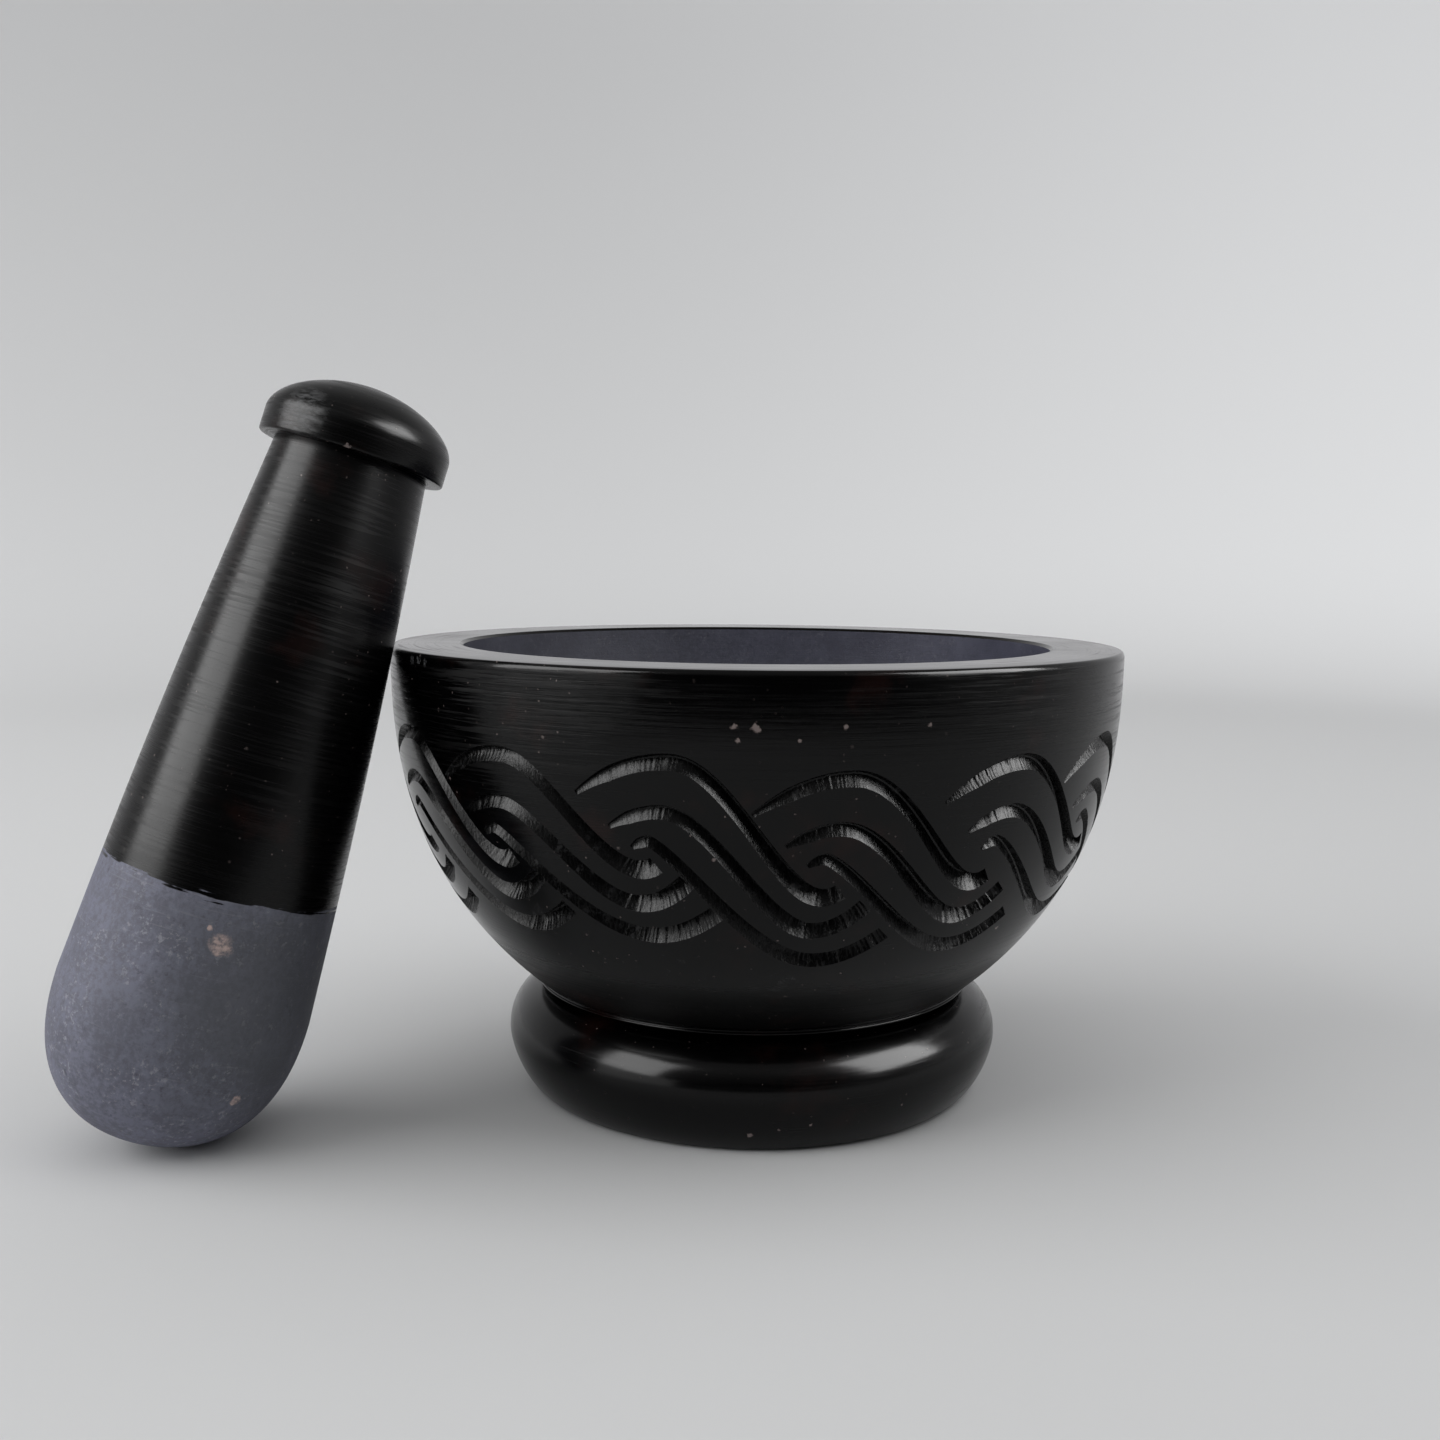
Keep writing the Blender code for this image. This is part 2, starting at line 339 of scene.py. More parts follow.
def mortar_profile(rim_radius, height):
    """Half section from the base round the rim to the hollow's floor, and its first raw ring."""
    profile = [(0.0, 0.0), (BASE_RADIUS * 0.5, 0.0)]
    profile += arc((BASE_RADIUS, FOOT_BULGE_Z), (FOOT_RADIUS - BASE_RADIUS, FOOT_BULGE_Z),
                   -90, 0, FOOT_LOWER_ROUNDNESS, FOOT_RINGS)
    neck_radius = bowl_radius(NECK_Z, rim_radius)
    profile += arc((neck_radius - NECK_CUT_DEPTH, FOOT_BULGE_Z),
                   (FOOT_RADIUS - neck_radius + NECK_CUT_DEPTH, NECK_Z - FOOT_BULGE_Z),
                   0, 90, FOOT_UPPER_ROUNDNESS, FOOT_RINGS)[1:]
    bead = (neck_radius + BEAD_OUTSET, NECK_Z + NECK_CUT_HEIGHT)
    profile += arc(bead, (BEAD_RADIUS, BEAD_RADIUS), -90, 80, steps=BEAD_RINGS)
    lip_z = bead[1] + BEAD_RADIUS + BEAD_GAP
    profile.append((bead[0], lip_z - 0.5 * BEAD_GAP))
    edge_z = height - RIM_EDGE_HEIGHT
    for ring in range(BOWL_RINGS + 1):
        ring_z = lip_z + (edge_z - lip_z) * ring / BOWL_RINGS
        profile.append((bowl_radius(ring_z, rim_radius), ring_z))
    edge_radius = bowl_radius(edge_z, rim_radius)
    flat_radius = rim_radius - RIM_FLAT_INSET
    profile += arc((flat_radius, edge_z), (edge_radius - flat_radius, RIM_EDGE_HEIGHT),
                   0, 90, steps=RIM_EDGE_RINGS)[1:]
    inner_flat = MOUTH_RADIUS + MOUTH_CHAMFER
    for ring in range(1, RIM_FLAT_RINGS + 1):
        profile.append((flat_radius + (inner_flat - flat_radius) * ring / RIM_FLAT_RINGS, height))
    raw_from = len(profile)
    profile += arc((0.0, height - MOUTH_CHAMFER), (MOUTH_RADIUS, height - MOUTH_CHAMFER - FLOOR_Z),
                   0, -90, HOLLOW_ROUNDNESS, HOLLOW_RINGS)
    profile[-1] = (0.0, FLOOR_Z)
    return profile, raw_from


def smooth(value):
    return value * value * (3.0 - 2.0 * value)


def groove_height(groove, degrees, crest_lift, trough_lift):
    """Height of a groove's centre line at an angle from its repeat's crest."""
    start, crest, trough, end, _, early = groove
    crest_z = crest[1] + crest_lift
    trough_z = trough[1] + trough_lift
    if degrees <= crest[0]:
        along = (crest[0] - degrees) / (crest[0] - start[0])
        return crest_z + (start[1] - crest[1]) * along ** 2
    if degrees >= trough[0]:
        along = (degrees - trough[0]) / (end[0] - trough[0])
        return trough_z + (end[1] - trough[1]) * along ** 2
    along = (degrees - crest[0]) / (trough[0] - crest[0])
    return crest_z + (trough_z - crest_z) * smooth(along ** early)


class Bowl:
    """The bowl's outer surface, for placing the carving on it."""

    def __init__(self, rim_radius):
        self.rim_radius = rim_radius

    def point(self, degrees, height):
        angle = math.radians(degrees)
        radius = bowl_radius(height, self.rim_radius)
        return Vector((radius * math.cos(angle), radius * math.sin(angle), height))

    def normal(self, degrees, height):
        step = 0.05
        rise = bowl_radius(height + step, self.rim_radius) - bowl_radius(height - step, self.rim_radius)
        angle = math.radians(degrees)
        return Vector((math.cos(angle), math.sin(angle), -rise / (2.0 * step))).normalized()


def groove_line(bowl, groove, turn, crest_lift, trough_lift):
    """Evenly spaced (degrees, height) stations along a groove."""
    spots = np.linspace(groove[0][0], groove[3][0], LINE_SAMPLES)
    line = [(turn + spot, groove_height(groove, spot, crest_lift, trough_lift)) for spot in spots]
    places = np.array([bowl.point(*spot) for spot in line])
    travelled = np.concatenate([[0.0], np.cumsum(np.linalg.norm(np.diff(places, axis=0), axis=1))])
    count = max(12, int(travelled[-1] / STATION_SPACING))
    even = np.linspace(0.0, travelled[-1], count)
    line = np.array(line)
    return np.stack([np.interp(even, travelled, line[:, 0]), np.interp(even, travelled, line[:, 1])], -1)


def groove_section(width, depth, valley_shift, centre, normal, side):
    """Points of the cutter from above the steep edge, through the round valley, to above the lip."""
    points = []
    for across, down in GROOVE_SECTION:
        shift = width * across + valley_shift * down
        points.append(centre + side * shift - normal * (depth * down))
    for end, inner in ((0, 1), (-1, -2)):
        rise = (points[end] - points[inner]).dot(normal)
        points[end] += (points[end] - points[inner]) * (CUTTER_CLEARANCE / rise)
    return points


def add_groove(bm, bowl, groove, turn, crest_lift, trough_lift, rng):
    """Sweep one cutter along its S-shaped line, chattering where the tool turned."""
    line = groove_line(bowl, groove, turn, crest_lift, trough_lift)
    centres = [bowl.point(*spot) for spot in line]
    start, crest, trough, end = [point[0] for point in groove[:4]]
    turning_points = (start, 0.65 * start + 0.35 * crest, crest, 0.5 * (crest + trough), trough, end)
    widths = (GROOVE_START_WIDTH, 0.85 * groove[4], groove[4],
              GROOVE_MIDDLE_WIDTH, GROOVE_TROUGH_WIDTH, GROOVE_END_WIDTH)
    sections = []
    for index, spot in enumerate(line):
        normal = bowl.normal(*spot)
        ahead = centres[min(index + 1, len(line) - 1)] - centres[max(index - 1, 0)]
        side = normal.cross(ahead).normalized()
        place = spot[0] - turn
        width = float(np.interp(place, turning_points, widths))
        descent = (place - groove[1][0]) / (groove[2][0] - groove[1][0])
        falling = math.exp(-((descent - DESCENT_MIDDLE) / DESCENT_REACH) ** 8)
        chatter = CHATTER + (CHATTER_RELAXED - CHATTER) * falling
        depth = width * float(np.interp(place, turning_points, GROOVE_DEPTHS))
        depth *= 1.0 + rng.uniform(-chatter, chatter)
        shift = width * chatter * rng.uniform(-0.4, 0.4)
        points = groove_section(width, depth, shift, centres[index], normal, side)
        sections.append([bm.verts.new(point * MM) for point in points])
    for here, there in zip(sections, sections[1:]):
        for corner in range(len(GROOVE_SECTION)):
            following = (corner + 1) % len(GROOVE_SECTION)
            bm.faces.new((here[corner], here[following], there[corner]))
            bm.faces.new((here[following], there[following], there[corner]))
    bm.faces.new(sections[0][::-1])
    bm.faces.new(sections[-1])


def band_repeats():
    """Every repeat of the band as (degrees of its crest, crest lift, trough lift)."""
    rng = random.Random(7)
    repeats = list(FRONT_REPEATS)
    back_start = FRONT_REPEATS[-1][0]
    back_end = FRONT_REPEATS[0][0] + 360.0
    back_gaps = REPEATS - len(FRONT_REPEATS) + 1
    for index in range(1, back_gaps):
        turn = back_start + (back_end - back_start) * index / back_gaps
        turn += rng.uniform(-HAND_DRIFT, HAND_DRIFT)
        repeats.append((turn, rng.uniform(-HAND_DRIFT, HAND_DRIFT), rng.uniform(-HAND_DRIFT, HAND_DRIFT)))
    return repeats


def braid_cutter(rim_radius, carved):
    rng = random.Random(11)
    bowl = Bowl(rim_radius)
    bm = bmesh.new()
    for turn, crest_lift, trough_lift in band_repeats():
        for groove in GROOVES:
            add_groove(bm, bowl, groove, turn, crest_lift, trough_lift, rng)
    bmesh.ops.recalc_face_normals(bm, faces=bm.faces)
    mesh = bpy.data.meshes.new("braid_cutter")
    bm.to_mesh(mesh)
    bm.free()
    mesh.materials.append(carved)
    return mesh_object("braid_cutter", mesh)


def build_mortar(rim_radius, height, polished, raw, carved):
    """The turned block with its hollow, the band cut into it, and exact normals."""
    profile, raw_from = mortar_profile(rim_radius, height)
    bm = turned_bmesh(profile, MORTAR_SEGMENTS, raw_from)
    blank_mesh = bpy.data.meshes.new("mortar_blank")
    bm.to_mesh(blank_mesh)
    bm.free()
    blank_mesh.materials.append(polished)
    blank_mesh.materials.append(raw)
    blank = mesh_object("mortar_blank", blank_mesh)
    cutter = braid_cutter(rim_radius, carved)
    carving = blank.modifiers.new("carved_band", "BOOLEAN")
    carving.operation = "DIFFERENCE"
    carving.solver = "EXACT"
    carving.use_self = True
    carving.material_mode = "TRANSFER"
    carving.object = cutter
    evaluated = blank.evaluated_get(bpy.context.evaluated_depsgraph_get())
    mesh = bpy.data.meshes.new_from_object(evaluated)
    mesh.name = "carved_mortar"
    bpy.data.objects.remove(blank, do_unlink=True)
    bpy.data.objects.remove(cutter, do_unlink=True)
    mesh.shade_smooth()
    normals = turned_loop_normals(mesh, profile, skipped_slot=CARVED_SLOT)
    facet_loop_normals(mesh, CARVED_SLOT, normals)
    mesh.normals_split_custom_set(normals)
    return mesh_object("carved_mortar", mesh)


# ---------------------------------------------------------------- pestle

def pestle_profile():
    """Half section from the grinding tip up to the top of the cap."""
    profile = arc((0.0, GRINDING_END_HEIGHT), (PESTLE_RADIUS, GRINDING_END_HEIGHT),
                  -90, 0, GRINDING_END_ROUNDNESS, GRINDING_END_RINGS)
    profile[0] = (0.0, 0.0)
    for ring in range(1, HANDLE_RINGS + 1):
        along = ring / HANDLE_RINGS
        taper = PESTLE_RADIUS + (HANDLE_TOP_RADIUS - PESTLE_RADIUS) * along
        barrel = HANDLE_BARREL * math.sin(math.pi * along)
        height = GRINDING_END_HEIGHT + (HANDLE_TOP - GRINDING_END_HEIGHT) * along
        profile.append((taper + barrel, height))
    cap_flat_radius = CAP_RADIUS - CAP_EDGE_ROUNDING
    profile += [(HANDLE_TOP_RADIUS + 0.1, HANDLE_TOP + 0.05), (cap_flat_radius, HANDLE_TOP)]
    profile += arc((cap_flat_radius, HANDLE_TOP + CAP_EDGE_ROUNDING),
                   (CAP_EDGE_ROUNDING, CAP_EDGE_ROUNDING), -90, 0, steps=3)[1:]
    profile += arc((0.0, HANDLE_TOP + CAP_EDGE), (CAP_RADIUS, CAP_HEIGHT - CAP_EDGE),
                   0, 90, CAP_ROUNDNESS, CAP_RINGS)
    profile[-1] = (0.0, HANDLE_TOP + CAP_HEIGHT)
    return profile


def pestle_place(profile):
    """Matrix that leans the upright pestle and sets its lowest point on the table."""
    upright = math.sqrt(1.0 - PESTLE_LEAN[0] ** 2 - PESTLE_LEAN[1] ** 2)
    lean = Vector((PESTLE_LEAN[0], PESTLE_LEAN[1], upright))
    turn = Vector((0, 0, 1)).rotation_difference(lean).to_matrix()
    sideways = math.hypot(*PESTLE_LEAN)
    lowest = min(height * upright - radius * sideways for radius, height in profile) * MM
    place = Vector((PESTLE_FOOT[0] * MM, PESTLE_FOOT[1] * MM, -lowest))
    return Matrix.Translation(place) @ turn.to_4x4()


def build_pestle():
    """Turn the pestle upright, then lean it in its mesh so that its box is exact."""
    profile = pestle_profile()
    bm = turned_bmesh(profile, PESTLE_SEGMENTS)
    mesh = bpy.data.meshes.new("leaning_pestle")
    bm.to_mesh(mesh)
    bm.free()
    normals = turned_loop_normals(mesh, profile)
    place = pestle_place(profile)
    mesh.transform(place)
    mesh.shade_smooth()
    mesh.normals_split_custom_set(normals @ np.array(place.to_3x3()).T)
    mesh.materials.append(pestle_stone(place))
    return mesh_object("leaning_pestle", mesh)


# ---------------------------------------------------------------- materials

class Nodes:
    """A material's node tree, with a short call for each kind of node it needs."""

    def __init__(self, name, place=None):
        """Patterns follow the object's own coordinates, or those of a matrix it was placed with."""
        self.material = bpy.data.materials.new(name)
        self.material.use_nodes = True
        self.tree = self.material.node_tree
        self.shader = self.tree.nodes["Principled BSDF"]
        self.place = self.tree.nodes.new("ShaderNodeTexCoord").outputs["Object"]
        if place:
            self.place = self.taken_back(place)

    def plug(self, socket, value):
        if isinstance(value, bpy.types.NodeSocket):
            self.tree.links.new(value, socket)
        else:
            socket.default_value = value

    def taken_back(self, place):
        node = self.tree.nodes.new("ShaderNodeMapping")
        node.vector_type = "TEXTURE"
        node.inputs["Location"].default_value = place.to_translation()
        node.inputs["Rotation"].default_value = place.to_euler()
        self.plug(node.inputs["Vector"], self.place)
        return node.outputs[0]

    def math(self, operation, first, second=0.0):
        node = self.tree.nodes.new("ShaderNodeMath")
        node.operation = operation
        self.plug(node.inputs[0], first)
        self.plug(node.inputs[1], second)
        return node.outputs[0]

    def stretched(self, factors, vector=None):
        node = self.tree.nodes.new("ShaderNodeVectorMath")
        node.operation = "MULTIPLY"
        self.plug(node.inputs[0], vector or self.place)
        node.inputs[1].default_value = factors
        return node.outputs[0]

    def distance_to(self, point):
        """Distance in metres from a point given in mm."""
        node = self.tree.nodes.new("ShaderNodeVectorMath")
        node.operation = "DISTANCE"
        self.plug(node.inputs[0], self.place)
        node.inputs[1].default_value = [value * MM for value in point]
        return node.outputs["Value"]

    def noise(self, scale, detail=4.0, roughness=0.5, vector=None, distortion=0.0):
        node = self.tree.nodes.new("ShaderNodeTexNoise")
        self.plug(node.inputs["Vector"], vector or self.place)
        node.inputs["Scale"].default_value = scale
        node.inputs["Detail"].default_value = detail
        node.inputs["Roughness"].default_value = roughness
        node.inputs["Distortion"].default_value = distortion
        return node.outputs[0]

    def sway(self, noise, reach):
        """A noise centred on 0, which goes up to half of reach either way."""
        return self.math("MULTIPLY", self.math("SUBTRACT", noise, 0.5), reach)

    def specks(self, scale, size, share):
        """Scattered ragged dots: size is a share of the cell, share is how many cells have one."""
        node = self.tree.nodes.new("ShaderNodeTexVoronoi")
        self.plug(node.inputs["Vector"], self.place)
        node.inputs["Scale"].default_value = scale
        ragged = self.math("MULTIPLY", self.noise(scale * 2.2, 4, 0.75), size * 3.0)
        near = self.math("ADD", node.outputs["Distance"], ragged)
        dot = self.ramp(near, size * 1.7, size * 2.5, 1.0, 0.0)
        split = self.tree.nodes.new("ShaderNodeSeparateColor")
        self.plug(split.inputs[0], node.outputs["Color"])
        chosen = self.math("GREATER_THAN", split.outputs[0], 1.0 - share)
        strength = self.ramp(split.outputs[1], 0.0, 1.0, 0.25, 1.0)
        return self.math("MULTIPLY", self.math("MULTIPLY", dot, chosen), strength)

    def spot(self, point, size, ragged=0.5):
        """A ragged patch round a point, both in mm."""
        edge = self.sway(self.noise(1100 / size, 5, 0.7), 3.0 * ragged * size * MM)
        near = self.math("ADD", self.distance_to(point), edge)
        return self.band(near, (0.55 * size, 1.1 * size), 1.0, 0.0)

    def ramp(self, value, low, high, start=0.0, end=1.0):
        """Smooth step of a value from low to high, put out between start and end."""
        node = self.tree.nodes.new("ShaderNodeMapRange")
        node.interpolation_type = "SMOOTHSTEP"
        self.plug(node.inputs["Value"], value)
        node.inputs["From Min"].default_value = low
        node.inputs["From Max"].default_value = high
        node.inputs["To Min"].default_value = start
        node.inputs["To Max"].default_value = end
        return node.outputs["Result"]

    def band(self, length, limits, start, end):
        """Smooth step of a length in metres between two limits in mm."""
        return self.ramp(length, limits[0] * MM, limits[1] * MM, start, end)

    def mix(self, share, first, second):
        node = self.tree.nodes.new("ShaderNodeMix")
        node.data_type = "RGBA"
        self.plug(node.inputs["Factor"], share)
        self.plug(node.inputs[6], first)
        self.plug(node.inputs[7], second)
        return node.outputs[2]

    def blend(self, share, first, second):
        """Plain number between first and second."""
        node = self.tree.nodes.new("ShaderNodeMix")
        node.data_type = "FLOAT"
        self.plug(node.inputs["Factor"], share)
        self.plug(node.inputs[2], first)
        self.plug(node.inputs[3], second)
        return node.outputs[0]

    def blend_normals(self, share, first, second):
        """Normal between first and second."""
        node = self.tree.nodes.new("ShaderNodeMix")
        node.data_type = "VECTOR"
        self.plug(node.inputs["Factor"], share)
        self.plug(node.inputs[4], first)
        self.plug(node.inputs[5], second)
        return node.outputs[1]

    def bump(self, height, distance, strength=1.0, normal=None):
        node = self.tree.nodes.new("ShaderNodeBump")
        self.plug(node.inputs["Strength"], strength)
        node.inputs["Distance"].default_value = distance
        self.plug(node.inputs["Height"], height)
        if normal:
            self.plug(node.inputs["Normal"], normal)
        return node.outputs["Normal"]

    def radius(self):
        """Distance from the turning axis, in metres."""
        flat = self.stretched((1.0, 1.0, 0.0))
        node = self.tree.nodes.new("ShaderNodeVectorMath")
        node.operation = "LENGTH"
        self.plug(node.inputs[0], flat)
        return node.outputs["Value"]

    def turning_coordinates(self, around, across):
        """Coordinates that run slowly round the axis and fast along the profile."""
        x, y, z = self.axes()
        travel = self.math("ADD", z, self.math("MULTIPLY", self.radius(), 0.7))
        join = self.tree.nodes.new("ShaderNodeCombineXYZ")
        self.plug(join.inputs[0], self.math("MULTIPLY", x, around))
        self.plug(join.inputs[1], self.math("MULTIPLY", y, around))
        self.plug(join.inputs[2], self.math("MULTIPLY", travel, across))
        return join.outputs[0]

    def axes(self):
        """The place's X, Y and Z."""
        split = self.tree.nodes.new("ShaderNodeSeparateXYZ")
        self.plug(split.inputs[0], self.place)
        return split.outputs


BLACK_STONE = (0.0004, 0.0004, 0.0005, 1.0)
BROWN_STONE = (0.0085, 0.0030, 0.0024, 1.0)
PALE_FLECK = (0.190, 0.155, 0.147, 1.0)
GREY_SCUFF = (0.030, 0.030, 0.031, 1.0)
WORN_GREY = (0.075, 0.076, 0.078, 1.0)
RAW_STONE = (0.175, 0.180, 0.235, 1.0)
RAW_DARK = (0.118, 0.120, 0.154, 1.0)
RAW_LIGHT = (0.270, 0.272, 0.310, 1.0)
RAW_SHADE = (0.040, 0.041, 0.058, 1.0)
# Darker grey painted onto the raw end as shade on its side towards the mortar.
RAW_PAINTED_SHADE = (0.066, 0.069, 0.076, 1.0)
HOLLOW_DARK_TONE = (0.030, 0.031, 0.052, 1.0)
PINK_GRAIN = (0.560, 0.420, 0.370, 1.0)
PAPER_WHITE = (0.63, 0.635, 0.64, 1.0)
GLOW_WHITE = (0.97, 0.98, 1.0, 1.0)


def polished_finish(nodes, gloss, streak_depth, streak_share=1.0):
    """Colour, roughness and normal of the waxed black stone, with turning streaks of a depth in mm."""
    mottle = nodes.ramp(nodes.noise(75, 5, 0.62), 0.56, 0.72)
    colour = nodes.mix(mottle, BLACK_STONE, BROWN_STONE)
    clusters = nodes.ramp(nodes.noise(40, 2), 0.38, 0.62, 0.12, 1.0)
    flecks = nodes.math("MAXIMUM", nodes.specks(1300, 0.19, 0.16), nodes.specks(460, 0.14, 0.09))
    flecks = nodes.math("MULTIPLY", flecks, clusters)
    colour = nodes.mix(flecks, colour, PALE_FLECK)
    fine = nodes.noise(1.0, 3, 0.65, nodes.turning_coordinates(70.0, 3000.0))
    broad = nodes.noise(1.0, 2, 0.5, nodes.turning_coordinates(25.0, 900.0))
    patches = nodes.ramp(nodes.noise(34, 4, 0.6), 0.36, 0.62)
    worn = nodes.math("MULTIPLY", nodes.ramp(fine, 0.48, 0.70), patches)
    roughness = nodes.ramp(nodes.noise(60, 5, 0.6), 0.3, 0.7, gloss, gloss + 0.05)
    roughness = nodes.math("ADD", roughness, nodes.math("MULTIPLY", worn, 0.10))
    brushed = nodes.math("MULTIPLY", nodes.ramp(fine, 0.42, 0.60), streak_share)
    roughness = nodes.math("ADD", roughness, nodes.math("MULTIPLY", brushed, BRUSHED_ROUGHNESS))
    normal = nodes.bump(broad, streak_depth * 1.2 * MM, streak_share)
    normal = nodes.bump(fine, streak_depth * MM, streak_share, normal)
    normal = nodes.bump(nodes.noise(260, 3, 0.5), 0.030 * MM, 0.6, normal)
    return colour, roughness, normal


def raw_finish(nodes):
    """Colour, roughness and normal of the unwaxed blue-grey stone."""
    grain = nodes.noise(1500, 5, 0.75)
    cloud = nodes.noise(190, 5, 0.65)
    tone = nodes.math("ADD", grain, nodes.math("MULTIPLY", cloud, 0.7))
    colour = nodes.mix(nodes.ramp(tone, 0.70, 1.00), RAW_DARK, RAW_STONE)
    light = nodes.math("MULTIPLY", nodes.ramp(nodes.noise(1300, 4, 0.7), 0.55, 0.66),
                       nodes.ramp(nodes.noise(150, 4, 0.6), 0.42, 0.58))
    colour = nodes.mix(light, colour, RAW_LIGHT)
    dark_spots = nodes.ramp(nodes.noise(700, 4, 0.7), 0.60, 0.70)
    colour = nodes.mix(nodes.math("MULTIPLY", dark_spots, 0.45), colour, RAW_SHADE)
    scratches = nodes.noise(1.0, 3, 0.6, nodes.turning_coordinates(120.0, 3600.0))
    marks = nodes.math("MULTIPLY", nodes.ramp(scratches, 0.60, 0.74), 0.35)
    colour = nodes.mix(marks, colour, RAW_LIGHT)
    normal = nodes.bump(grain, 0.080 * MM, 0.7)
    normal = nodes.bump(scratches, 0.040 * MM, 0.5, normal)
    return colour, nodes.ramp(grain, 0.3, 0.7, 0.55, 0.75), normal


def finish_stone(nodes, colour, roughness, normal):
    nodes.plug(nodes.shader.inputs["Base Color"], colour)
    nodes.plug(nodes.shader.inputs["Roughness"], roughness)
    nodes.plug(nodes.shader.inputs["Normal"], normal)
    nodes.shader.inputs["Metallic"].default_value = 0.0
    nodes.shader.inputs["IOR"].default_value = STONE_IOR
    return nodes.material


def polished_stone():
    nodes = Nodes("polished_stone")
    height = nodes.axes()[2]
    streak_share = nodes.band(height, STREAKS_Z, 0.06, 0.22)
    patchy = nodes.ramp(nodes.noise(55, 4, 0.65), 0.34, 0.58, 0.35, 1.0)
    for place, share in BRUSHED_PATCHES:
        near = nodes.band(nodes.distance_to(place), BRUSHED_REACH, share, 0.0)
        streak_share = nodes.math("ADD", streak_share, nodes.math("MULTIPLY", near, patchy))
    below_rim = nodes.band(height, STREAKS_END_Z, 1.0, 0.0)
    streak_share = nodes.math("MULTIPLY", streak_share, below_rim)
    colour, roughness, normal = polished_finish(nodes, 0.12, 0.045, streak_share)
    dull_foot = nodes.band(height, DULL_FOOT_Z, 0.03, 0.0)
    dull_neck = nodes.math("MULTIPLY", nodes.band(height, DULL_NECK_START_Z, 0.0, 1.0),
                           nodes.band(height, DULL_NECK_END_Z, 0.30, 0.0))
    roughness = nodes.math("ADD", roughness, nodes.math("ADD", dull_foot, dull_neck))
    for spot, size in PALE_GRAINS:
        colour = nodes.mix(nodes.spot(spot, size, 1.0), colour, PALE_FLECK)
    for spot, size in RIM_CHIPS:
        colour = nodes.mix(nodes.spot(spot, size, 1.8), colour, WORN_GREY)
    scuffed = nodes.ramp(nodes.noise(700, 5, 0.75), 0.50, 0.70, 0.0, 0.7)
    for spot, size in SMUDGES:
        smudge = nodes.math("MULTIPLY", nodes.spot(spot, size, 1.0), scuffed)
        colour = nodes.mix(smudge, colour, GREY_SCUFF)
    return finish_stone(nodes, colour, roughness, normal)


def hollow_stone():
    """The raw hollow, darkened all over, more in some patches."""
    nodes = Nodes("hollow_stone")
    colour, roughness, normal = raw_finish(nodes)
    hollow_darkening = nodes.ramp(nodes.noise(60, 4, 0.6), 0.25, 0.75, 0.62, 0.90)
    return finish_stone(nodes, nodes.mix(hollow_darkening, colour, HOLLOW_DARK_TONE), roughness, normal)


def carved_stone():
    """Tool-cut facets: black like the wall, with scuffed grey patches."""
    nodes = Nodes("carved_stone")
    scuffs = nodes.math("MULTIPLY", nodes.ramp(nodes.noise(900, 5, 0.7), 0.50, 0.70),
                        nodes.ramp(nodes.noise(110, 3, 0.6), 0.46, 0.66))
    colour = nodes.mix(scuffs, BLACK_STONE, GREY_SCUFF)
    roughness = nodes.math("ADD", nodes.ramp(nodes.noise(300, 4, 0.6), 0.3, 0.7, 0.14, 0.24),
                           nodes.math("MULTIPLY", scuffs, 0.2))
    scratches = nodes.noise(1.0, 3, 0.7, nodes.stretched((4200.0, 4200.0, 700.0)))
    roughness = nodes.math("ADD", roughness, nodes.ramp(scratches, 0.40, 0.66, 0.0, 0.16))
    normal = nodes.bump(nodes.noise(1300, 4, 0.6), 0.030 * MM, 0.6)
    normal = nodes.bump(scratches, 0.060 * MM, 0.8, normal)
    return finish_stone(nodes, colour, roughness, normal)


def waxed_handle(nodes):
    """The waxed finish, with the cap's worn patch and its chip."""
    streak_share = nodes.ramp(nodes.noise(48, 4, 0.65), 0.36, 0.62, 0.04, 0.27)
    colour, roughness, normal = polished_finish(nodes, 0.22, 0.010, streak_share)
    scrapes = nodes.noise(1.0, 4, 0.7, nodes.stretched((500.0, 500.0, 1600.0)))
    worn = nodes.math("MULTIPLY", nodes.spot(CAP_WEAR, CAP_WEAR_SIZE, 0.35),
                      nodes.ramp(scrapes, 0.40, 0.64))
    colour = nodes.mix(worn, colour, WORN_GREY)
    colour = nodes.mix(nodes.spot(CAP_CHIP, CAP_CHIP_SIZE, 1.2), colour, PALE_FLECK)
    return colour, nodes.blend(worn, roughness, 0.45), normal


def raw_end(nodes):
    """The raw finish, with painted shade in a darker grey on its side towards the mortar, and pinkish
    inclusions broken into speckles.
    """
    colour, roughness, normal = raw_finish(nodes)
    # Painted shade: the raw end's side towards the mortar is made darker and greyer.
    blotches = nodes.sway(nodes.noise(160, 5, 0.65), 16 * MM)
    near_painted_shade = nodes.math("ADD", nodes.distance_to(PAINTED_SHADE_SPOT), blotches)
    painted_shade = nodes.band(near_painted_shade, PAINTED_SHADE_REACH, 0.72, 0.0)
    colour = nodes.mix(painted_shade, colour, RAW_PAINTED_SHADE)
    speckle = nodes.ramp(nodes.noise(1500, 3, 0.6), 0.30, 0.66, 0.10, 0.80)
    for spot, size in PINK_GRAINS:
        near = nodes.math("MULTIPLY", nodes.spot(spot, size), speckle)
        colour = nodes.mix(near, colour, PINK_GRAIN)
    return colour, roughness, normal


